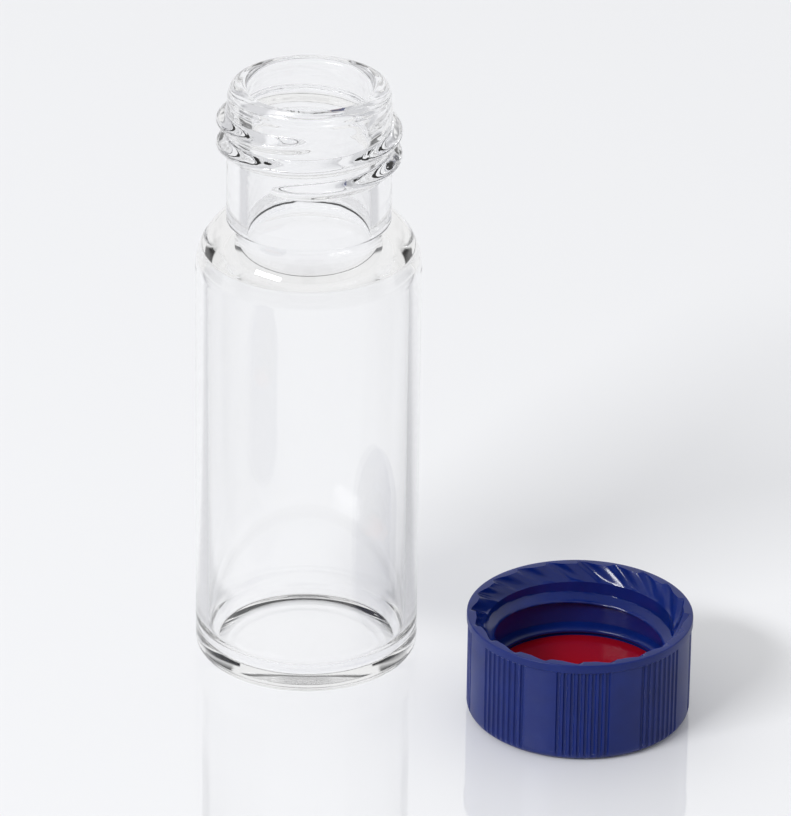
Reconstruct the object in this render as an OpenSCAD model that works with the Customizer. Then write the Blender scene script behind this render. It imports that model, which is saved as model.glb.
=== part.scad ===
// A small clear glass sample vial with a threaded neck, and its open-top screw cap with a
// two-layer septum. The cap is off and stands mouth up beside the vial.
// Millimetres, +Z up, origin at the centre of the vial's base.

/* [Vial] */
// Overall height of the vial
vial_height = 32; // [28:0.5:45]
// Outside diameter of the body
body_d = 11.6; // [11.2:0.1:13]
// Thickness of the body wall
body_wall = 0.65; // [0.5:0.05:0.9]
// Thickness of the base
base_thickness = 0.6; // [0.5:0.05:1.4]
// Outside rounding where the wall meets the base
foot_radius = 0.75; // [0.5:0.05:1.2]
// Inside rounding where the wall meets the base
heel_radius = 1.6; // [0.5:0.05:2]

/* [Shoulder and neck] */
// Outside diameter of the neck between the thread and the shoulder
neck_d = 8.42; // [8.2:0.02:8.6]
// Diameter of the mouth and of the bore through the neck
mouth_d = 6.3; // [5.8:0.05:6.6]
// Height of the neck, from the shoulder to the rim
neck_height = 7.3; // [6.5:0.1:8]
// Outside radius of the rounded shoulder
shoulder_radius = 3.2; // [2.6:0.1:3.6]
// Outside fillet between the neck and the shoulder
neck_fillet = 0.08; // [0.06:0.02:0.4]
// Height of the first inside bend above the foot of the shoulder
haunch_rise = 0.15; // [0:0.05:0.3]
// Inside radius of that bend
haunch_radius = 1.4; // [1:0.1:1.8]
// Height of the inside corner under the shoulder, above the shoulder's foot
corner_rise = 0.8; // [0.7:0.05:0.95]
// Distance from the inside of the wall in to that corner
corner_inset = 0.25; // [0.15:0.05:0.3]
// Inside radius of that corner
corner_radius = 0.25; // [0.15:0.05:0.4]
// Height of the foot of the bore above the shoulder's foot
bore_foot_rise = 1.7; // [1.5:0.05:1.9]
// Radius of the flare where the bore opens into the body
bore_flare_radius = 0.85; // [0.6:0.05:1.1]

/* [Rim] */
// Outside diameter of the rim
rim_d = 8.2; // [8:0.02:8.4]
// Height of the slight taper from the neck to the rim
rim_taper_height = 1.2; // [0.8:0.05:1.4]
// Rounding of the rim's outer edge
rim_outer_radius = 0.47; // [0.3:0.01:0.5]
// Rounding of the rim's inner edge
rim_inner_radius = 0.3; // [0.15:0.01:0.4]

/* [Neck thread] */
// Diameter over the thread
thread_d = 9.45; // [9.3:0.05:9.6]
// Rise of the thread in one turn, the same in the cap
thread_pitch = 1.27; // [1.2:0.01:1.5]
// Half of the width of the rounded bead that forms the thread
bead_half_width = 0.63; // [0.5:0.01:0.7]
// Distance from the rim down to the middle of the bead's upper end
thread_drop = 1.52; // [1.3:0.02:1.8]
// Turns of thread on the neck, its run-out at both ends included
thread_turns = 2.18; // [1.8:0.01:2.4]
// Angle of the bead's upper end round the neck
thread_end_angle = 285; // [0:5:360]
// Angle over which the bead rises out of the neck at its lower end
bead_run_in = 110; // [30:5:140]
// Angle over which the bead sinks into the neck at its upper end
bead_run_out = 45; // [20:5:90]

/* [Cap] */
// Height of the cap
cap_height = 5.6; // [5.4:0.05:7]
// Thickness of the skirt outside the thread
skirt_wall = 0.9; // [0.7:0.05:1.2]
// Thickness of the cap's top
top_thickness = 0.8; // [0.6:0.05:1]
// Diameter of the hole in the cap's top
port_d = 6; // [5:0.1:6.6]
// Radial clearance between the cap and the vial's neck and thread
thread_clearance = 0.12; // [0.08:0.01:0.16]
// Rounding of the outer edge of the cap's top
top_edge_radius = 0.55; // [0.3:0.05:0.7]
// Rounding of the hole's outer edge
port_edge_radius = 0.25; // [0.1:0.05:0.4]
// Height of the smooth band round the cap's mouth
band_height = 0.5; // [0.3:0.05:0.7]
// How far the band stands out from the skirt
band_step = 0.06; // [0.02:0.01:0.12]
// Height of the bevel that leads into the cap's mouth
lead_in_height = 0.8; // [0.6:0.05:0.85]
// Width of the bevel that leads into the cap's mouth
lead_in_width = 0.5; // [0.3:0.05:0.6]
// Half of the width of the ridge that forms the cap's thread
ridge_half_width = 0.45; // [0.35:0.01:0.5]
// Distance from the cap's mouth to the middle of the ridge's first end
ridge_start = 1.2; // [1.1:0.05:1.25]
// Angle of the ridge's first end round the cap
ridge_start_angle = 115; // [0:5:360]
// Turns of thread in the cap
ridge_turns = 1.15; // [0.9:0.05:1.15]
// Angle over which the ridge rises and sinks at its ends
ridge_fade = 30; // [15:5:60]

/* [Grip] */
// Groups of grooves round the skirt
groove_groups = 8; // [6:1:10]
// Grooves in each group
grooves_per_group = 8; // [4:1:9]
// Angle from one groove to the next
groove_spacing = 3.6; // [3:0.1:4]
// Radius of a groove
groove_radius = 0.12; // [0.08:0.01:0.14]
// Depth of a groove
groove_depth = 0.1; // [0.05:0.01:0.12]
// Leaning notches round the bevel of the cap's mouth
notch_count = 20; // [12:1:24]
// Radius of a notch
notch_radius = 0.35; // [0.25:0.01:0.4]
// Depth of a notch in the bevel
notch_depth = 0.18; // [0.1:0.01:0.2]
// Length of a notch
notch_length = 1.5; // [0.8:0.1:1.6]
// Lean of a notch round the mouth, from straight down the bevel
notch_lean = 50; // [20:5:60]

/* [Septum] */
// Diameter of both layers of the septum
septum_d = 9.2; // [9:0.05:9.4]
// Thickness of the soft white layer
septum_thickness = 0.8; // [0.6:0.05:1]
// Thickness of the hard red facing
facing_thickness = 0.2; // [0.1:0.05:0.3]
// Clearance round the septum and under the bead that holds it
septum_clearance = 0.05; // [0.03:0.01:0.08]
// Height of the bead that holds the septum in the cap
retainer_height = 0.6; // [0.4:0.05:0.7]

/* [Placing] */
// Gap between the vial and the cap that stands beside it
cap_gap = 4; // [2:0.5:20]
// Direction of the cap from the vial
cap_direction = -26; // [-180:1:180]

/* [Hidden] */
$fn = 96;
arc_steps = 10;
bead_steps = 10;
helix_step = 10;
cut_over = 1;
// Depth to which the root of a thread lies inside the wall that carries it
root_bury = 0.06;
// Depth to which the back of a thread lies inside the wall that carries it
back_bury = 0.35;

body_r = body_d / 2;
neck_r = neck_d / 2;
mouth_r = mouth_d / 2;
rim_r = rim_d / 2;
thread_r = thread_d / 2;

// Outer shoulder arc, tangent to the body wall and to the neck fillet
shoulder_cr = body_r - shoulder_radius;
neck_foot_z = vial_height - neck_height;
fillet_reach = neck_r + neck_fillet - shoulder_cr;
fillet_rise = sqrt(pow(shoulder_radius + neck_fillet, 2) - pow(fillet_reach, 2));
fillet_angle = atan2(fillet_rise, fillet_reach);
shoulder_z = neck_foot_z - fillet_rise;

// Corners of the inside of the shoulder, from the body wall up to the bore
inner_r = body_r - body_wall;
haunch = [inner_r, shoulder_z + haunch_rise];
corner = [inner_r - corner_inset, shoulder_z + corner_rise];
bore_foot = [mouth_r, shoulder_z + bore_foot_rise];

// The cap in its own frame: mouth at z = 0, top at z = cap_height
cap_root_r = thread_r + thread_clearance;
cap_crest_r = neck_r + thread_clearance;
cap_r = cap_root_r + skirt_wall;
port_r = port_d / 2;
top_inside_z = cap_height - top_thickness;
seat_r = septum_d / 2 + septum_clearance;
face_z = top_inside_z - septum_thickness - facing_thickness;
retainer_top_z = face_z - septum_clearance;

cap_distance = body_r + cap_gap + cap_r + band_step;
cap_x = cap_distance * cos(cap_direction);
cap_y = cap_distance * sin(cap_direction);

// Points of an arc in a profile of radius and height
function arc(cr, cz, r, from, to) =
    [for (i = [0 : arc_steps]) let (a = from + (to - from) * i / arc_steps)
        [cr + r * cos(a), cz + r * sin(a)]];

// Points of the arc of radius r that rounds the corner b of the path a, b, c
function bend(a, b, c, r) =
    let (way_in = atan2(b[1] - a[1], b[0] - a[0]),
         way_out = atan2(c[1] - b[1], c[0] - b[0]),
         turn = way_out - way_in,
         side = sign(turn),
         t = r * tan(abs(turn) / 2))
    arc(b[0] - t * cos(way_in) - side * r * sin(way_in),
        b[1] - t * sin(way_in) + side * r * cos(way_in),
        r, way_in - side * 90, way_out - side * 90);

function vial_outside() = concat(
    [[0, 0]],
    arc(body_r - foot_radius, foot_radius, foot_radius, -90, 0),
    arc(shoulder_cr, shoulder_z, shoulder_radius, 0, fillet_angle),
    arc(neck_r + neck_fillet, neck_foot_z, neck_fillet, 180 + fillet_angle, 180),
    [[neck_r, vial_height - rim_taper_height]],
    arc(rim_r - rim_outer_radius, vial_height - rim_outer_radius, rim_outer_radius, 0, 90),
    [[0, vial_height]]);

function vial_cavity() = concat(
    [[0, base_thickness]],
    arc(inner_r - heel_radius, base_thickness + heel_radius, heel_radius, -90, 0),
    bend([inner_r, base_thickness + heel_radius], haunch, corner, haunch_radius),
    bend(haunch, corner, bore_foot, corner_radius),
    bend(corner, bore_foot, [mouth_r, vial_height], bore_flare_radius),
    arc(mouth_r + rim_inner_radius, vial_height - rim_inner_radius, rim_inner_radius, 180, 90),
    [[mouth_r + rim_inner_radius, vial_height + cut_over], [0, vial_height + cut_over]]);

// Smooth rise from 0 to 1
function ease(x) = let (k = min(1, max(0, x))) k * k * (3 - 2 * k);

function on_helix(r, angle, z) = [r * cos(angle), r * sin(angle), z];

// A rounded ridge along a right-handed helix, starting at height z0 and angle a0. It stands
// out from root_r to crest_r and fades into the wall at both ends. back_r is buried in the
// wall, outside root_r for a ridge that faces inwards.
module helical_ridge(root_r, crest_r, back_r, half_width, pitch, z0, a0, turns, fade0, fade1) {
    steps = ceil(turns * 360 / helix_step);
    side = sign(crest_r - root_r);
    ring = bead_steps + 3;
    points = [for (i = [0 : steps])
        let (swept = turns * 360 * i / steps,
             k = ease(swept / fade0) * ease((turns * 360 - swept) / fade1),
             angle = a0 + swept,
             z = z0 + pitch * swept / 360)
        each concat(
            [for (j = [0 : bead_steps]) let (s = 2 * j / bead_steps - 1)
                on_helix(root_r + (crest_r - root_r) * k * pow(cos(90 * s), 2),
                    angle, z + side * s * half_width)],
            [on_helix(back_r, angle, z + side * half_width),
             on_helix(back_r, angle, z - side * half_width)])];
    sides = [for (i = [0 : steps - 1], j = [0 : ring - 1])
        let (a = i * ring + j, b = i * ring + (j + 1) % ring)
        each [[a, b, b + ring], [a, b + ring, a + ring]]];
    ends = [[for (j = [ring - 1 : -1 : 0]) j],
            [for (j = [0 : ring - 1]) steps * ring + (j + ring - 1) % ring]];
    polyhedron(points, concat(sides, ends));
}

module glass_vial() {
    turn = thread_turns * 360;
    color([0.84, 0.92, 0.93, 0.4]) union() {
        rotate_extrude() difference() {
            polygon(vial_outside());
            polygon(vial_cavity());
        }
        helical_ridge(neck_r - root_bury, thread_r, neck_r - back_bury, bead_half_width,
            thread_pitch, vial_height - thread_drop - thread_pitch * thread_turns,
            thread_end_angle - turn, thread_turns, bead_run_in, bead_run_out);
    }
}

function cap_section() = concat(
    [[cap_root_r + lead_in_width, 0]],
    arc(cap_r, band_step, band_step, -90, 0),
    [[cap_r + band_step, band_height - band_step], [cap_r, band_height]],
    arc(cap_r - top_edge_radius, cap_height - top_edge_radius, top_edge_radius, 0, 90),
    arc(port_r + port_edge_radius, cap_height - port_edge_radius, port_edge_radius, 90, 180),
    [[port_r, top_inside_z], [seat_r, top_inside_z], [seat_r, retainer_top_z],
     [cap_crest_r, retainer_top_z - retainer_height / 2],
     [cap_root_r, retainer_top_z - retainer_height], [cap_root_r, lead_in_height]]);

// Upright grooves in groups, from the band at the mouth out through the rounded top edge
module grip_grooves() {
    first = (grooves_per_group - 1) / 2;
    for (g = [0 : groove_groups - 1], i = [0 : grooves_per_group - 1])
        rotate(g * 360 / groove_groups + (i - first) * groove_spacing)
            translate([cap_r + groove_radius - groove_depth, 0, band_height])
                cylinder(h = cap_height, r = groove_radius, $fn = 16);
}

// Notches in the bevel of the mouth, which lean round it as they go in
module mouth_notches() {
    bevel_slope = atan2(lead_in_width, lead_in_height);
    for (i = [0 : notch_count - 1])
        rotate(i * 360 / notch_count)
            translate([cap_root_r + lead_in_width, 0, 0])
                rotate([0, -bevel_slope, 0])
                    translate([notch_depth - notch_radius, 0, 0])
                        rotate([-notch_lean, 0, 0])
                            translate([0, 0, -notch_length / 5])
                                cylinder(h = notch_length, r = notch_radius, $fn = 24);
}

module cap_body() {
    difference() {
        union() {
            rotate_extrude() polygon(cap_section());
            helical_ridge(cap_root_r + root_bury, cap_crest_r, cap_root_r + back_bury,
                ridge_half_width, thread_pitch, ridge_start, ridge_start_angle, ridge_turns,
                ridge_fade, ridge_fade);
        }
        grip_grooves();
        mouth_notches();
    }
}

// Turns a piece of the cap over and puts it in its place beside the vial
module as_cap_lies() {
    translate([cap_x, cap_y, cap_height]) rotate([180, 0, 0]) children();
}

module screw_cap() {
    color([0.13, 0.2, 0.62]) as_cap_lies() cap_body();
}

module septum() {
    color([0.96, 0.95, 0.94]) as_cap_lies()
        translate([0, 0, face_z + facing_thickness])
            cylinder(h = septum_thickness, d = septum_d);
}

module septum_facing() {
    color([0.78, 0.05, 0.1]) as_cap_lies()
        translate([0, 0, face_z])
            cylinder(h = facing_thickness, d = septum_d);
}

glass_vial();
screw_cap();
septum();
septum_facing();
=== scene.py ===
"""A clear glass sample vial and its blue open-top screw cap, turned mouth up beside it."""

import math

import bpy
from mathutils import Matrix, Vector


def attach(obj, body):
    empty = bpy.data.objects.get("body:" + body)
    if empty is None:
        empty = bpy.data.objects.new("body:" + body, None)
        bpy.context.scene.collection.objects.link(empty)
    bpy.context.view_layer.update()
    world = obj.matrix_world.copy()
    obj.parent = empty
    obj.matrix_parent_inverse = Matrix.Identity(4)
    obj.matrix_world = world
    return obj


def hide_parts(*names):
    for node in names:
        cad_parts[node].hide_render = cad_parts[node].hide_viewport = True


MM = 0.001

# A tolerance in millimetres, and in metres how near points are welded and the shortest step.
HAIR = 1e-4
WELD = 1e-7
SHORTEST = 1e-9

# The vial, in millimetres, as in the part's source. The arcs below end with their count of steps.
VIAL_HEIGHT = 32.0
BODY_R = 5.8
BODY_WALL = 0.65
BASE = 0.6
FOOT_RADIUS = 0.75
HEEL_RADIUS = 1.6
NECK_R = 4.21
MOUTH_R = 3.15
NECK_FOOT = 7.3
SHOULDER_RADIUS = 3.2
NECK_FILLET = 0.08
HAUNCH = (0.15, 1.4)
CORNER = (0.8, 0.25, 0.25)
BORE_FOOT = (1.7, 0.85)
RIM_R = 4.1
RIM_TAPER = 1.2
RIM_OUTER = 0.47
RIM_INNER = 0.3
THREAD_R = 4.725
PITCH = 1.27
BEAD_HALF = 0.63
THREAD_DROP = 1.52
THREAD_TURNS = 2.18
THREAD_END = 285.0
RUN_IN = 110.0
RUN_OUT = 45.0
ROOT_BURY = 0.06

# Columns of points round the vial and round the septum.
VIAL_COLUMNS = 256
SEPTUM_COLUMNS = 128

# Rings of points in the flat underside, in the flat inside of the base and in the long wall, the
# spacing of the rows that the bead is raised from, and how far the neck's skin reaches past its
# foot, short of the rim and either side of its own radii.
UNDERSIDE_RING = 2.5
BASE_RING = 2.0
WALL_RING = 11.0
NECK_ROW = 0.055
NECK_SPAN = (0.15, 0.55)
NECK_SKIN = 0.02

# Heights between which the glass carries the wheel's marks, and between which it dims a lamp,
# each with the blur of its ends.
PRESSED = (27.2, 31.2, 0.5)
WALLS = (8.0, 40, 0.8)

# The cap, in its own frame: mouth at 0, top at CAP_HEIGHT. It lies turned over.
CAP_HEIGHT = 5.6
CLEARANCE = 0.12
SKIRT_WALL = 0.9
TOP = 0.8
PORT_R = 3.0
TOP_EDGE = 0.55
PORT_EDGE = 0.25
BAND = (0.5, 0.06)
LEAD_IN = (0.8, 0.5)
RIDGE_HALF = 0.45
RIDGE_START = 1.2
RIDGE_ANGLE = 115.0
RIDGE_TURNS = 1.15
RIDGE_FADE = 30.0
GROOVE_GROUPS = 8
GROOVES = 8
GROOVE_STEP = 3.6
GROOVE_R = 0.12
GROOVE_DEPTH = 0.1
PANEL_COLUMNS = 13
TEETH = 20
TOOTH_DEPTH = 0.24
TOOTH_STEP = 0.1
TOOTH_RAMP = 0.62
TOOTH_LEAN = 0.95
SEPTUM_R = 4.6
SEPTUM = 0.8
FACING = 0.2
SEAT_GAP = 0.05
RETAINER = 0.6
CAP_GAP = 4.0
CAP_DIRECTION = math.radians(-26)

# The cap's small edges: where its grooves run out above the band, the broken edges of the port
# and of the septum's seat, and the radii of the bead that holds the septum. Then the spacing of
# the rows of points on the skirt, the thread and the bevel.
GROOVE_END = 0.06
PORT_BREAK = 0.03
SEAT_BREAK = 0.05
RETAINER_RADII = (0.06, 0.12)
SKIRT_ROW = 0.8
THREAD_ROW = 0.05
BEVEL_ROW = 0.06

# How near to a surface a point of the cap lies to count as one of its skirt, bevel or thread.
SKIRT_SKIN = 0.2
BEVEL_SKIN = 0.01
THREAD_SKIN = 0.05
AXIS_SKIN = 0.01
LEAST_RISE = 0.001

# The septum's rounded edge, draft and swell, and the rounded edge and shallow dish of its facing.
SEPTUM_EDGE = 0.05
SEPTUM_DRAFT = 0.04
SWELL = 0.03
SWELL_RIM = 0.1
FILM_EDGE = 0.03
FILM_DISH = 0.004
FILM_DISH_RING = 2.0
FILM_DISH_RIM = 0.3

# The white sheet's front and far edges in metres, and how far it lies below the vial's foot in
# millimetres. Its painted shade is a grey seen only through the glass, standing in for dark
# surroundings. It lies between two angles round the vial and two distances in millimetres,
# each with a blur.
SHEET_FRONT = -0.5
SHEET_END = 0.6
SHEET_DROP = 0.01
SHEET_COLOUR = "#f0f1f4"
PAINTED_SHADE_SIDES = (44, 104, 5)
PAINTED_SHADE_REACH = (6.5, 900, 1)
# Painted shade: the grey that the sheet shows only through the glass.
PAINTED_SIDE_SHADE = "#cbccd0"

# The tent's light, and its dark panels as angles from and to round the vial, from and to in
# height, their blur and the light left there.
TENT_LIGHT = 0.86
TENT_PANELS = (
    (44, 76, 3, 20, 3, 0.03),
    (98, 156, -95, 18, 6, 0.4),
    (156, 190, -95, 12, 6, 0.1),
    (142, 190, 50, 80, 5, 0.1),
    (-10, 190, 62, 110, 6, 0.6),
    (-10, 22, -4, -1.2, 0.4, 0.03),
)

# Two more that only light on its way through the glass meets. They draw the bands beside the
# neck and the upright lines of the vial's mirror image in the sheet.
GLASS_PANELS = (
    (34, 62, 24, 28, 1.5, 0.03),
    (30, 130, 28.7, 30.4, 0.4, 0.0),
)

# The height that the lamp is aimed at, in metres.
LAMP_AIM = 0.016

# The lens's focal length and the frame's width, both in pixels, and the sensor in millimetres.
FOCAL_PIXELS = 6500
FRAME_PIXELS = 791
SENSOR = 36

ROOT_R = THREAD_R + CLEARANCE
CREST_R = NECK_R + CLEARANCE
CAP_R = ROOT_R + SKIRT_WALL
TOP_INSIDE = CAP_HEIGHT - TOP
FACE = TOP_INSIDE - SEPTUM - FACING
CAP_AWAY = BODY_R + CAP_GAP + CAP_R + BAND[1]
CAP_X = CAP_AWAY * math.cos(CAP_DIRECTION)
CAP_Y = CAP_AWAY * math.sin(CAP_DIRECTION)


# ---------------------------------------------------------------- profiles

def arc(cr, cz, r, start, end, steps):
    """Points of an arc in a profile of radius and height."""
    angles = [math.radians(start + (end - start) * i / steps) for i in range(steps + 1)]
    return [(cr + r * math.cos(a), cz + r * math.sin(a)) for a in angles]


def bend(a, b, c, r, steps):
    """Points of the arc that rounds the corner b of the path a, b, c."""
    way_in = math.degrees(math.atan2(b[1] - a[1], b[0] - a[0]))
    way_out = math.degrees(math.atan2(c[1] - b[1], c[0] - b[0]))
    side = 1 if way_out > way_in else -1
    t = r * math.tan(math.radians(abs(way_out - way_in) / 2))
    u = math.radians(way_in)
    cr = b[0] - t * math.cos(u) - side * r * math.sin(u)
    cz = b[1] - t * math.sin(u) + side * r * math.cos(u)
    return arc(cr, cz, r, way_in - side * 90, way_out - side * 90, steps)


def rows(points, step):
    """The same path with a point at least every step."""
    out = [points[0]]
    for a, b in zip(points, points[1:]):
        n = max(1, math.ceil(math.dist(a, b) / step))
        out += [(a[0] + (b[0] - a[0]) * i / n, a[1] + (b[1] - a[1]) * i / n)
                for i in range(1, n + 1)]
    return out


def vial_profile():
    """The cut glass, from the middle of the base out, up to the rim and down inside."""
    centre = BODY_R - SHOULDER_RADIUS
    reach = NECK_R + NECK_FILLET - centre
    rise = math.sqrt((SHOULDER_RADIUS + NECK_FILLET) ** 2 - reach ** 2)
    foot = VIAL_HEIGHT - NECK_FOOT
    shoulder = foot - rise
    angle = math.degrees(math.atan2(rise, reach))
    inner = BODY_R - BODY_WALL
    outside = (
        [(0, 0), (UNDERSIDE_RING, 0)]
        + arc(BODY_R - FOOT_RADIUS, FOOT_RADIUS, FOOT_RADIUS, -90, 0, 14)
        + [(BODY_R, WALL_RING)]
        + arc(centre, shoulder, SHOULDER_RADIUS, 0, angle, 26)
        + arc(NECK_R + NECK_FILLET, foot, NECK_FILLET, 180 + angle, 180, 6)
        + rows([(NECK_R, foot), (NECK_R, VIAL_HEIGHT - RIM_TAPER),
                (RIM_R, VIAL_HEIGHT - RIM_OUTER)], NECK_ROW)[1:]
        + arc(RIM_R - RIM_OUTER, VIAL_HEIGHT - RIM_OUTER, RIM_OUTER, 0, 90, 12)[1:])
    haunch = (inner, shoulder + HAUNCH[0])
    corner = (inner - CORNER[1], shoulder + CORNER[0])
    bore = (MOUTH_R, shoulder + BORE_FOOT[0])
    inside = (
        [(0, BASE), (BASE_RING, BASE)]
        + arc(inner - HEEL_RADIUS, BASE + HEEL_RADIUS, HEEL_RADIUS, -90, 0, 16)
        + [(inner, WALL_RING)]
        + bend((inner, BASE), haunch, corner, HAUNCH[1], 8)
        + bend(haunch, corner, bore, CORNER[2], 12)
        + bend(corner, bore, (MOUTH_R, VIAL_HEIGHT), BORE_FOOT[1], 18)
        + arc(MOUTH_R + RIM_INNER, VIAL_HEIGHT - RIM_INNER, RIM_INNER, 180, 90, 10))
    return outside + inside[::-1]


def cap_profile():
    """The cut skirt and top of the cap, from its mouth out and round to the mouth again."""
    band, step = BAND
    seat = SEPTUM_R + SEAT_GAP
    shelf = FACE - SEAT_GAP
    return (
        [(ROOT_R + LEAD_IN[1], 0)]
        + arc(CAP_R, step, step, -90, 0, 4)
        + [(CAP_R + step, band - step), (CAP_R, band), (CAP_R, band + GROOVE_END)]
        + rows([(CAP_R, band + GROOVE_END), (CAP_R, CAP_HEIGHT - TOP_EDGE)], SKIRT_ROW)[1:-1]
        + arc(CAP_R - TOP_EDGE, CAP_HEIGHT - TOP_EDGE, TOP_EDGE, 0, 90, 12)
        + arc(PORT_R + PORT_EDGE, CAP_HEIGHT - PORT_EDGE, PORT_EDGE, 90, 180, 6)
        + [(PORT_R, TOP_INSIDE + PORT_BREAK), (PORT_R + PORT_BREAK, TOP_INSIDE),
           (seat - SEAT_BREAK, TOP_INSIDE), (seat, TOP_INSIDE - SEAT_BREAK)]
        + bend((seat, TOP_INSIDE), (seat, shelf),
               (CREST_R, shelf - RETAINER / 2), RETAINER_RADII[0], 3)
        + bend((seat, shelf), (CREST_R, shelf - RETAINER / 2),
               (ROOT_R, shelf - RETAINER), RETAINER_RADII[1], 6)
        + rows([(ROOT_R, shelf - RETAINER), (ROOT_R, LEAD_IN[0])], THREAD_ROW)
        + rows([(ROOT_R, LEAD_IN[0]), (ROOT_R + LEAD_IN[1], 0)], BEVEL_ROW)[1:])


# ---------------------------------------------------------------- modelling

def nothing_selected():
    """Back to object mode, with nothing selected."""
    if bpy.context.object and bpy.context.object.mode != "OBJECT":
        bpy.ops.object.mode_set(mode="OBJECT")
    bpy.ops.object.select_all(action="DESELECT")


def turned(name, profile, centre, steps, up=1.0, top=0.0):
    """Draws a profile by extruding one point along it and spins it about an upright axis.
    With up = -1 and a height for top, it comes out turned over."""
    spots = [Vector((centre[0] + r, centre[1], top + up * z)) * MM for r, z in profile]
    nothing_selected()
    bpy.ops.mesh.primitive_circle_add(vertices=3, radius=0.1 * MM, location=spots[0])
    piece = bpy.context.object
    piece.name = piece.data.name = name
    bpy.ops.object.transform_apply(location=True, rotation=True, scale=True)
    bpy.ops.object.mode_set(mode="EDIT")
    bpy.ops.mesh.select_all(action="SELECT")
    bpy.ops.mesh.merge(type="CENTER")
    bpy.ops.mesh.select_all(action="SELECT")
    bpy.ops.object.mode_set(mode="OBJECT")
    piece.data.vertices[0].co = spots[0]
    bpy.ops.object.mode_set(mode="EDIT")
    bpy.ops.mesh.select_all(action="SELECT")
    for a, b in zip(spots, spots[1:]):
        if (b - a).length > SHORTEST:
            bpy.ops.mesh.extrude_region_move(TRANSFORM_OT_translate={"value": b - a})
    bpy.ops.mesh.select_all(action="SELECT")
    bpy.ops.mesh.spin(steps=steps, angle=2 * math.pi, axis=(0, 0, 1),
                      center=(centre[0] * MM, centre[1] * MM, 0))
    bpy.ops.mesh.select_all(action="SELECT")
    bpy.ops.mesh.remove_doubles(threshold=WELD)
    bpy.ops.mesh.normals_make_consistent(inside=False)
    bpy.ops.object.mode_set(mode="OBJECT")
    return piece


def ease(x):
    """A soft step from 0 to 1 as x goes from 0 to 1."""
    k = min(1.0, max(0.0, x))
    return k * k * (3 - 2 * k)


def along_helix(angle, height, start, low, turns, fade_in, fade_out, half):
    """How far a thread's rounded ridge stands out at this angle and height, from 0 to 1."""
    best = 0.0
    sweep = turns * 360
    first = (angle - start) % 360
    for turn in range(int(turns) + 1):
        swept = first + 360 * turn
        if swept <= sweep:
            s = (height - low - PITCH * swept / 360) / half
            if abs(s) < 1:
                rise = ease(swept / fade_in) * ease((sweep - swept) / fade_out)
                best = max(best, rise * math.cos(math.pi * s / 2) ** 2)
    return best


def raise_neck_thread(piece):
    """Pushes the neck's surface out into the moulded bead, so that thread and neck are one
    skin of glass with no face between them."""
    low = VIAL_HEIGHT - THREAD_DROP - PITCH * THREAD_TURNS
    foot = VIAL_HEIGHT - NECK_FOOT - NECK_SPAN[0]
    top = VIAL_HEIGHT - NECK_SPAN[1]
    for v in piece.data.vertices:
        r = math.hypot(v.co.x, v.co.y) / MM
        z = v.co.z / MM
        if foot < z < top and RIM_R - NECK_SKIN < r < NECK_R + NECK_SKIN:
            angle = math.degrees(math.atan2(v.co.y, v.co.x))
            k = along_helix(angle, z, THREAD_END - THREAD_TURNS * 360, low, THREAD_TURNS,
                            RUN_IN, RUN_OUT, BEAD_HALF)
            out = NECK_R - ROOT_BURY + (THREAD_R - NECK_R + ROOT_BURY) * k
            if out > r:
                v.co.x *= out / r
                v.co.y *= out / r


def cap_columns():
    """Angles of the cap's columns of points: six for each groove, so that each one keeps its
    round floor and sharp edges, and wider ones on the plain panels between the groups."""
    edge = math.degrees(math.sqrt(GROOVE_R ** 2 - (GROOVE_R - GROOVE_DEPTH) ** 2) / CAP_R)
    half = (GROOVES - 1) / 2 * GROOVE_STEP
    angles = []
    for group in range(GROOVE_GROUPS):
        middle = 360 / GROOVE_GROUPS * group
        for i in range(GROOVES):
            centre = middle - half + i * GROOVE_STEP
            angles += [centre + k * edge for k in (-1, -0.6, 0, 0.6, 1)]
            if i < GROOVES - 1:
                angles.append(centre + GROOVE_STEP / 2)
        start, stop = middle + half + edge, middle + 360 / GROOVE_GROUPS - half - edge
        angles += [start + (stop - start) * (i + 1) / (PANEL_COLUMNS + 1)
                   for i in range(PANEL_COLUMNS)]
    return sorted(a % 360 for a in angles)


def groove_floor(angle):
    """Radius of the skirt at this angle, with its groups of fine upright grooves."""
    g = (angle + 180 / GROOVE_GROUPS) % (360 / GROOVE_GROUPS) - 180 / GROOVE_GROUPS
    half = (GROOVES - 1) / 2
    nearest = min(GROOVES - 1, max(0, round(g / GROOVE_STEP + half))) - half
    off = math.radians(abs(g - nearest * GROOVE_STEP)) * CAP_R
    if off >= GROOVE_R:
        return CAP_R
    return min(CAP_R, CAP_R + GROOVE_R - GROOVE_DEPTH - math.sqrt(GROOVE_R ** 2 - off ** 2))


def tooth_depth(angle, z):
    """Depth of the leaning scoops in the mouth's bevel: a sudden step, then a slow way out."""
    u = (angle * TEETH / 360 - TOOTH_LEAN * z) % 1
    scoop = ease(u / TOOTH_STEP) * (1 - ease((u - TOOTH_STEP) / TOOTH_RAMP))
    return TOOTH_DEPTH * scoop * math.sqrt(1 - z / LEAD_IN[0])


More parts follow.
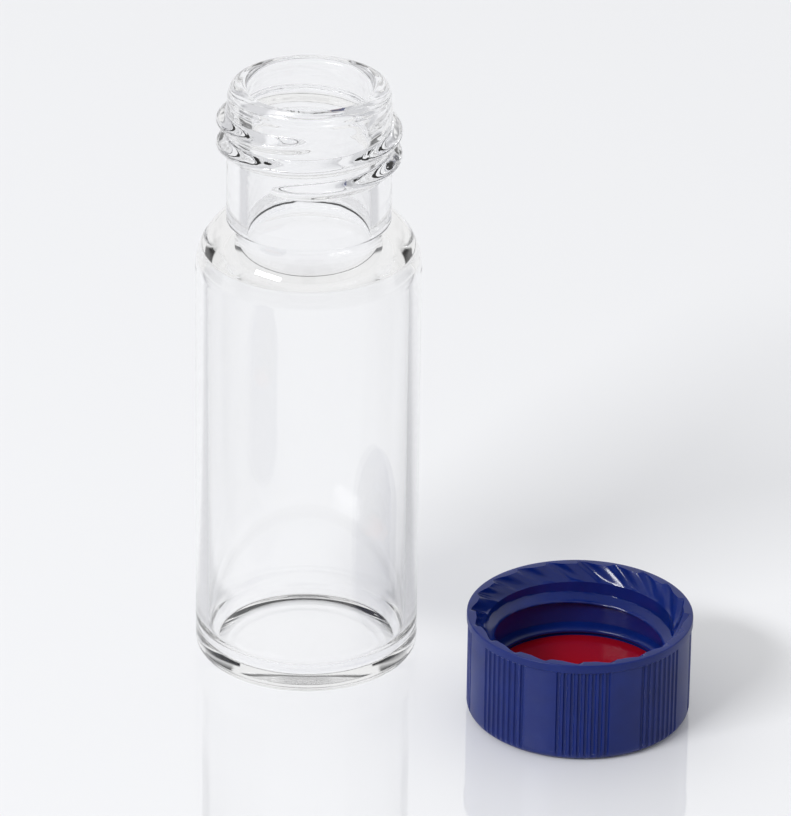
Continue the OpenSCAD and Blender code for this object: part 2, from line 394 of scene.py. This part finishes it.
def cut_cap_details(piece, columns):
    """Moves the columns of points to their own angles, presses the grip grooves into the
    skirt and the saw teeth into the mouth, and raises the thread inside."""
    step = 360 / len(columns)
    mouth_r = ROOT_R + LEAD_IN[1]
    for v in piece.data.vertices:
        x, y = v.co.x / MM - CAP_X, v.co.y / MM - CAP_Y
        z = CAP_HEIGHT - v.co.z / MM
        was = r = math.hypot(x, y)
        if r < AXIS_SKIN:
            continue
        angle = columns[round(math.degrees(math.atan2(-y, x)) % 360 / step) % len(columns)]
        if z > BAND[0] - HAIR and r > CAP_R - SKIRT_SKIN:
            r = min(r, groove_floor(angle))
        elif z < LEAD_IN[0] and r < mouth_r + BEVEL_SKIN:
            r += tooth_depth(angle, z)
        if z < FACE - SEAT_GAP - RETAINER + HAIR and was < mouth_r - THREAD_SKIN:
            k = along_helix(angle, z, RIDGE_ANGLE, RIDGE_START, RIDGE_TURNS, RIDGE_FADE,
                            RIDGE_FADE, RIDGE_HALF)
            if k > LEAST_RISE:
                r = min(r, ROOT_R + ROOT_BURY - (ROOT_R + ROOT_BURY - CREST_R) * k)
        a = math.radians(angle)
        v.co.x = (CAP_X + r * math.cos(a)) * MM
        v.co.y = (CAP_Y - r * math.sin(a)) * MM


def smooth(piece, degrees):
    """Smooth shading, with edges kept where faces meet at more than this angle."""
    nothing_selected()
    piece.select_set(True)
    bpy.context.view_layer.objects.active = piece
    bpy.ops.object.shade_smooth_by_angle(angle=math.radians(degrees))


# ---------------------------------------------------------------- materials

def colour(hex_code):
    """A linear colour from its sRGB hex value."""
    parts = [int(hex_code[i:i + 2], 16) / 255 for i in (1, 3, 5)]
    return tuple(c / 12.92 if c <= 0.04045 else ((c + 0.055) / 1.055) ** 2.4
                 for c in parts) + (1.0,)


def node(tree, kind, settings=None, **inputs):
    """Adds a node. Settings are its own fields; an input, given by its name or as i and its
    number, takes a value or another output."""
    n = tree.nodes.new(kind)
    for key, value in (settings or {}).items():
        setattr(n, key, value)
    for key, value in inputs.items():
        name = key.replace("_", " ")
        by_number = name[0] == "i" and name[1:].isdigit()
        socket = n.inputs[int(name[1:]) if by_number else name]
        if isinstance(value, bpy.types.NodeSocket):
            tree.links.new(value, socket)
        else:
            socket.default_value = value
    return n


def new_material(name):
    """An empty material and its tree of nodes."""
    m = bpy.data.materials.new(name)
    m.use_nodes = True
    m.node_tree.nodes.clear()
    return m, m.node_tree


def smooth_window(tree, angle, start, stop, blur):
    """1 where the value lies between start and stop, with edges that blur, and 0 elsewhere."""
    parts = [node(tree, "ShaderNodeMapRange", {"interpolation_type": "SMOOTHSTEP"}, Value=angle,
                  From_Min=edge - blur, From_Max=edge + blur, To_Min=first, To_Max=1.0 - first)
             for edge, first in ((start, 0.0), (stop, 1.0))]
    return node(tree, "ShaderNodeMath", {"operation": "MULTIPLY"}, i0=parts[0].outputs[0],
                i1=parts[1].outputs[0]).outputs[0]


def borosilicate_glass():
    """Drawn tubing, flame-worked at the shoulder and fire-polished at the rim: water clear,
    with a faint ripple left by the draw and the flame, and a livelier one on the thread, which
    a wheel pressed while it was soft. Lamps and scattered light pass through the glass, so
    that its shadow stays as pale as thin glass casts."""
    m, t = new_material("borosilicate_glass")
    where = node(t, "ShaderNodeTexCoord")
    # Draw lines a few millimetres wide run up the body; the flame leaves softer, rounder ones.
    stretch = node(t, "ShaderNodeMapping", Vector=where.outputs["Object"], Scale=(1, 1, 0.35))
    ripple = node(t, "ShaderNodeTexNoise", Vector=stretch.outputs["Vector"], Scale=420.0,
                  Detail=1.0, Roughness=0.4)
    skin = node(t, "ShaderNodeBump", Height=ripple.outputs["Fac"], Strength=0.04,
                Distance=0.00012)
    height = node(t, "ShaderNodeSeparateXYZ", i0=where.outputs["Object"]).outputs["Z"]
    pressed = node(t, "ShaderNodeMath", {"operation": "MULTIPLY"},
                   i0=smooth_window(t, height, *[z * MM for z in PRESSED]), i1=0.25)
    # The wheel's marks are about a millimetre wide.
    marks = node(t, "ShaderNodeTexNoise", Vector=where.outputs["Object"], Scale=1100.0,
                 Detail=1.0)
    thread = node(t, "ShaderNodeBump", Height=marks.outputs["Fac"],
                  Strength=pressed.outputs[0], Distance=0.0001, Normal=skin.outputs["Normal"])
    glass = node(t, "ShaderNodeBsdfPrincipled", Base_Color=(1, 1, 1, 1), Roughness=0.0,
                 IOR=1.5, Normal=thread.outputs["Normal"])
    glass.inputs["Transmission Weight"].default_value = 1.0
    # The curved walls bend part of a lamp's light away, and send much of it to the floor inside
    # and close round the foot, so only what passes through them higher up casts a shadow.
    ray = node(t, "ShaderNodeLightPath")
    bent = node(t, "ShaderNodeMath", {"operation": "MULTIPLY"}, i0=ray.outputs["Is Shadow Ray"],
                i1=smooth_window(t, height, *[z * MM for z in WALLS]))
    tint = node(t, "ShaderNodeMix", {"data_type": "RGBA"}, i0=bent.outputs[0],
                i6=(1, 1, 1, 1), i7=colour("#c4c5ca"))
    clear = node(t, "ShaderNodeBsdfTransparent", Color=tint.outputs[2])
    either = node(t, "ShaderNodeMath", {"operation": "MAXIMUM"},
                  i0=ray.outputs["Is Shadow Ray"], i1=ray.outputs["Is Diffuse Ray"])
    mix = node(t, "ShaderNodeMixShader", Fac=either.outputs[0], i1=glass.outputs[0],
               i2=clear.outputs[0])
    node(t, "ShaderNodeOutputMaterial", Surface=mix.outputs[0])
    return m


def blue_polypropylene(name, shine_from, shine_to, grain_depth):
    """Moulded polypropylene, dyed through. The skirt comes satin from the mould's fine spark
    grain, and the inside shines where the polished core of the mould unscrews from it. It is
    slightly clear, so that thin edges glow a brighter blue."""
    m, t = new_material(name)
    where = node(t, "ShaderNodeTexCoord")
    # Spark grain of about 0.05 mm, and flow marks of about 2 mm.
    grain = node(t, "ShaderNodeTexNoise", Vector=where.outputs["Object"], Scale=20000.0,
                 Detail=2.0)
    flow = node(t, "ShaderNodeTexNoise", Vector=where.outputs["Object"], Scale=520.0,
                Detail=2.0)
    tint = node(t, "ShaderNodeValToRGB", Fac=flow.outputs["Fac"])
    tint.color_ramp.elements[0].position = 0.3
    tint.color_ramp.elements[0].color = colour("#0a1d5f")
    tint.color_ramp.elements[1].position = 0.7
    tint.color_ramp.elements[1].color = colour("#0d236b")
    shine = node(t, "ShaderNodeMapRange", Value=grain.outputs["Fac"], To_Min=shine_from,
                 To_Max=shine_to)
    skin = node(t, "ShaderNodeBump", Height=grain.outputs["Fac"], Strength=grain_depth,
                Distance=0.00002)
    plastic = node(t, "ShaderNodeBsdfPrincipled", Base_Color=tint.outputs["Color"],
                   Roughness=shine.outputs["Result"], IOR=1.49,
                   Normal=skin.outputs["Normal"])
    plastic.inputs["Specular IOR Level"].default_value = 0.3
    plastic.inputs["Subsurface Weight"].default_value = 0.25
    plastic.inputs["Subsurface Radius"].default_value = (0.1, 0.25, 1.0)
    plastic.inputs["Subsurface Scale"].default_value = 0.0008
    node(t, "ShaderNodeOutputMaterial", Surface=plastic.outputs[0])
    return m


def silicone_rubber():
    """Die-cut white silicone sheet: matt, soft and faintly dusty."""
    m, t = new_material("white_silicone_rubber")
    where = node(t, "ShaderNodeTexCoord")
    # Specks of about 0.2 mm, coarser than real dust so that they show.
    dust = node(t, "ShaderNodeTexNoise", Vector=where.outputs["Object"], Scale=6000.0,
                Detail=3.0)
    tint = node(t, "ShaderNodeValToRGB", Fac=dust.outputs["Fac"])
    tint.color_ramp.elements[0].position = 0.35
    tint.color_ramp.elements[0].color = colour("#e6e2de")
    tint.color_ramp.elements[1].position = 0.65
    tint.color_ramp.elements[1].color = colour("#f3f0ed")
    skin = node(t, "ShaderNodeBump", Height=dust.outputs["Fac"], Strength=0.2,
                Distance=0.00004)
    rubber = node(t, "ShaderNodeBsdfPrincipled", Base_Color=tint.outputs["Color"],
                  Roughness=0.62, IOR=1.43, Normal=skin.outputs["Normal"])
    rubber.inputs["Subsurface Weight"].default_value = 0.3
    rubber.inputs["Subsurface Radius"].default_value = (1.0, 0.9, 0.8)
    rubber.inputs["Subsurface Scale"].default_value = 0.0006
    node(t, "ShaderNodeOutputMaterial", Surface=rubber.outputs[0])
    return m


def red_ptfe():
    """Skived PTFE film laminated to the rubber: a deep red, smooth enough to mirror the wall
    of the cap, with hair-fine lines from the skiving knife."""
    m, t = new_material("red_ptfe_film")
    where = node(t, "ShaderNodeTexCoord")
    # The knife's lines are about 0.1 mm wide and 1.4 mm long.
    turn = node(t, "ShaderNodeMapping", Vector=where.outputs["Object"],
                Rotation=(0, 0, math.radians(35)), Scale=(1, 14, 1))
    lines = node(t, "ShaderNodeTexNoise", Vector=turn.outputs["Vector"], Scale=700.0,
                 Detail=2.0)
    shine = node(t, "ShaderNodeMapRange", Value=lines.outputs["Fac"], To_Min=0.1, To_Max=0.2)
    skin = node(t, "ShaderNodeBump", Height=lines.outputs["Fac"], Strength=0.1,
                Distance=0.00002)
    film = node(t, "ShaderNodeBsdfPrincipled", Base_Color=colour("#9c0d1d"),
                Roughness=shine.outputs["Result"], IOR=1.5, Normal=skin.outputs["Normal"])
    node(t, "ShaderNodeOutputMaterial", Surface=film.outputs[0])
    return m


def turn_from_back(tree, split):
    """The angle round the vial of a split place or direction, the same on both sides: 0 behind
    the vial and pi at the camera's side."""
    side = node(tree, "ShaderNodeMath", {"operation": "ABSOLUTE"}, i0=split.outputs["X"])
    return node(tree, "ShaderNodeMath", {"operation": "ARCTAN2"}, i0=side.outputs[0],
                i1=split.outputs["Y"]).outputs[0]


def white_acrylic():
    """The table: a white sheet under a hard clear lacquer, which keeps soft shadows and mirrors
    what stands on it. Seen through the glass only, it carries painted shade at both sides, a grey
    in place of dark surroundings, which draws the dark edges of the clear walls."""
    m, t = new_material("white_acrylic_sheet")
    where = node(t, "ShaderNodeTexCoord")
    turn = turn_from_back(t, node(t, "ShaderNodeSeparateXYZ", i0=where.outputs["Object"]))
    away = node(t, "ShaderNodeVectorMath", {"operation": "LENGTH"}, i0=where.outputs["Object"])
    sides = smooth_window(t, turn, *[math.radians(a) for a in PAINTED_SHADE_SIDES])
    beyond = smooth_window(t, away.outputs["Value"], *[d * MM for d in PAINTED_SHADE_REACH])
    # Painted shade: rays through the glass see the sheet grey at its sides, away from the foot.
    painted_shade_mask = node(t, "ShaderNodeLightPath").outputs["Is Transmission Ray"]
    for cover in (sides, beyond):
        painted_shade_mask = node(t, "ShaderNodeMath", {"operation": "MULTIPLY"}, i0=painted_shade_mask, i1=cover).outputs[0]
    tone = node(t, "ShaderNodeMix", {"data_type": "RGBA"}, i0=painted_shade_mask, i6=colour(SHEET_COLOUR),
                i7=colour(PAINTED_SIDE_SHADE)).outputs[2]
    sheet = node(t, "ShaderNodeBsdfPrincipled", Base_Color=tone, Roughness=0.03, IOR=2.0)
    node(t, "ShaderNodeOutputMaterial", Surface=sheet.outputs[0])
    return m


# ---------------------------------------------------------------- the object

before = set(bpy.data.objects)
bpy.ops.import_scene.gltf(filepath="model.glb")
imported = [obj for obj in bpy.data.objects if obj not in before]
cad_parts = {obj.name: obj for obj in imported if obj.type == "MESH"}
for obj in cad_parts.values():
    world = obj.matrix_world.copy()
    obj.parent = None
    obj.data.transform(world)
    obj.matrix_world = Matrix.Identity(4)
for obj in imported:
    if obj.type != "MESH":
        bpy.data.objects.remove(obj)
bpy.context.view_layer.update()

vial = turned("vial_glass", vial_profile(), (0, 0), VIAL_COLUMNS)
raise_neck_thread(vial)
smooth(vial, 60)
vial.data.materials.append(borosilicate_glass())
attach(vial, "root")
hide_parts("glass_vial")

columns = cap_columns()
cap = turned("cap_shell", cap_profile(), (CAP_X, CAP_Y), len(columns), up=-1.0, top=CAP_HEIGHT)
cut_cap_details(cap, columns)
smooth(cap, 32)
cap.data.materials.append(blue_polypropylene("satin_blue_polypropylene", shine_from=0.3,
                                             shine_to=0.42, grain_depth=0.12))
cap.data.materials.append(blue_polypropylene("polished_blue_polypropylene", shine_from=0.1,
                                             shine_to=0.16, grain_depth=0.03))
for face in cap.data.polygons:
    out = math.hypot(face.center.x / MM - CAP_X, face.center.y / MM - CAP_Y)
    depth = CAP_HEIGHT - face.center.z / MM
    inside = BEVEL_SKIN < depth < TOP_INSIDE + BEVEL_SKIN
    if inside and out < ROOT_R + LEAD_IN[1] + TOOTH_DEPTH:
        face.material_index = 1
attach(cap, "root")
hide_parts("screw_cap")

# The die presses the cut edge of the septum round, and the port lets the rubber swell a
# hair's breadth outwards.
septum = turned(
    "septum_rubber",
    [(0, FACE + FACING), (SEPTUM_R - SEPTUM_DRAFT, FACE + FACING)]
    + arc(SEPTUM_R - SEPTUM_EDGE, TOP_INSIDE - SWELL - SEPTUM_EDGE, SEPTUM_EDGE, 0, 90, 4)
    + [(PORT_R + SWELL_RIM, TOP_INSIDE - SWELL)]
    + [(PORT_R * math.cos(math.radians(a)),
        TOP_INSIDE - SWELL + SWELL * math.sin(math.radians(a)))
       for a in (10, 25, 40, 55, 70, 80)]
    + [(0, TOP_INSIDE)],
    (CAP_X, CAP_Y), SEPTUM_COLUMNS, up=-1.0, top=CAP_HEIGHT)
smooth(septum, 40)
septum.data.materials.append(silicone_rubber())
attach(septum, "root")
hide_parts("septum")

facing = turned(
    "septum_film",
    [(0, FACE)]
    + [(FILM_DISH_RING, FACE + FILM_DISH), (SEPTUM_R - FILM_DISH_RIM, FACE + FILM_DISH)]
    + arc(SEPTUM_R - FILM_EDGE, FACE + FILM_EDGE, FILM_EDGE, -90, 0, 4)
    + [(SEPTUM_R, FACE + FACING), (0, FACE + FACING)],
    (CAP_X, CAP_Y), SEPTUM_COLUMNS, up=-1.0, top=CAP_HEIGHT)
smooth(facing, 40)
facing.data.materials.append(red_ptfe())
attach(facing, "root")
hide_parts("septum_facing")

# ---------------------------------------------------------------- floor, light and camera

nothing_selected()
bpy.ops.mesh.primitive_plane_add(size=SHEET_END - SHEET_FRONT,
                                 location=(0, (SHEET_FRONT + SHEET_END) / 2,
                                           -SHEET_DROP * MM))
floor = bpy.context.object
bpy.ops.object.transform_apply(location=True, rotation=True, scale=True)
floor.name = "floor"
floor.data.materials.append(white_acrylic())

scene = bpy.context.scene


def light_tent():
    """A white tent round the object, with gaps and dark panels that the glass shows as its
    thin dark lines. Angles go round from 0 behind the vial to 180 at the camera, on both
    sides alike, and up from the horizon."""
    world = bpy.data.worlds.new("light_tent")
    world.use_nodes = True
    tent = world.node_tree
    tent.nodes.clear()
    ray = node(tent, "ShaderNodeTexCoord")
    split = node(tent, "ShaderNodeSeparateXYZ", i0=ray.outputs["Generated"])
    turn = turn_from_back(tent, split)
    rise = node(tent, "ShaderNodeMath", {"operation": "ARCSINE"}, i0=split.outputs["Z"])
    seen = node(tent, "ShaderNodeLightPath")
    light = None
    through = seen.outputs["Is Transmission Ray"]
    panels = [(panel, None) for panel in TENT_PANELS]
    panels += [(panel, through) for panel in GLASS_PANELS]
    for (low, high, under, over, blur, left), gate in panels:
        across = smooth_window(tent, turn, *[math.radians(a) for a in (low, high, blur)])
        up = smooth_window(tent, rise.outputs[0], *[math.radians(a) for a in (under, over, blur)])
        cover = node(tent, "ShaderNodeMath", {"operation": "MULTIPLY"}, i0=across, i1=up)
        if gate is not None:
            cover = node(tent, "ShaderNodeMath", {"operation": "MULTIPLY"}, i0=cover.outputs[0],
                         i1=gate)
        kept = node(tent, "ShaderNodeMapRange", Value=cover.outputs[0], To_Min=1.0, To_Max=left)
        light = kept if light is None else node(
            tent, "ShaderNodeMath", {"operation": "MULTIPLY"}, i0=light.outputs[0],
            i1=kept.outputs[0])
    walls = node(tent, "ShaderNodeBackground", Color=light.outputs[0], Strength=TENT_LIGHT)
    pale = node(tent, "ShaderNodeBackground", Color=colour("#f1f2f5"), Strength=1.0)
    both = node(tent, "ShaderNodeMixShader", Fac=seen.outputs["Is Camera Ray"],
                i1=walls.outputs[0], i2=pale.outputs[0])
    node(tent, "ShaderNodeOutputWorld", Surface=both.outputs[0])
    return world


scene.world = light_tent()


def softbox(name, azimuth, elevation, distance, width, height, power):
    """A softbox aimed at the vial's middle. Azimuth 0 is at the camera's side. The glass mirrors
    it on its outside only, so that it leaves no bright squares in the walls and on the table."""
    a, e = math.radians(azimuth), math.radians(elevation)
    place = distance * Vector((math.cos(e) * math.sin(a), -math.cos(e) * math.cos(a),
                               math.sin(e)))
    lamp = bpy.data.lights.new(name, "AREA")
    lamp.shape = "RECTANGLE"
    lamp.size = width
    lamp.size_y = height
    lamp.energy = power
    lit = bpy.data.objects.new(name, lamp)
    lit.visible_transmission = False
    scene.collection.objects.link(lit)
    lit.location = place + Vector((0, 0, LAMP_AIM))
    lit.rotation_euler = (-place).to_track_quat("-Z", "Y").to_euler()


softbox("key", azimuth=-48, elevation=35, distance=0.9, width=0.42, height=0.12, power=5.1)

lens = bpy.data.cameras.new("camera")
camera = bpy.data.objects.new("camera", lens)
scene.collection.objects.link(camera)
# Where the camera stands, in metres, and the directions of its view, its right and its top.
stand = (0, -0.30064615, 0.16267961)
ahead = Vector((0.01350713, 0.89607804, -0.443691))
right = Vector((0.99988903, -0.00931606, 0.01162458))
above = Vector((-0.00628308, 0.44379878, 0.89610444))
camera.matrix_world = (Matrix.Translation(stand)
                       @ Matrix((right, above, -ahead)).transposed().to_4x4())
lens.sensor_fit = "HORIZONTAL"
lens.sensor_width = SENSOR
lens.lens = SENSOR * FOCAL_PIXELS / FRAME_PIXELS
lens.clip_start = 0.01
scene.camera = camera

# Enough reflections for light to run along the glass walls and come out again.
scene.cycles.max_bounces = 32
scene.cycles.glossy_bounces = 24
scene.cycles.transmission_bounces = 32
scene.cycles.transparent_max_bounces = 16
scene.view_settings.view_transform = "Standard"
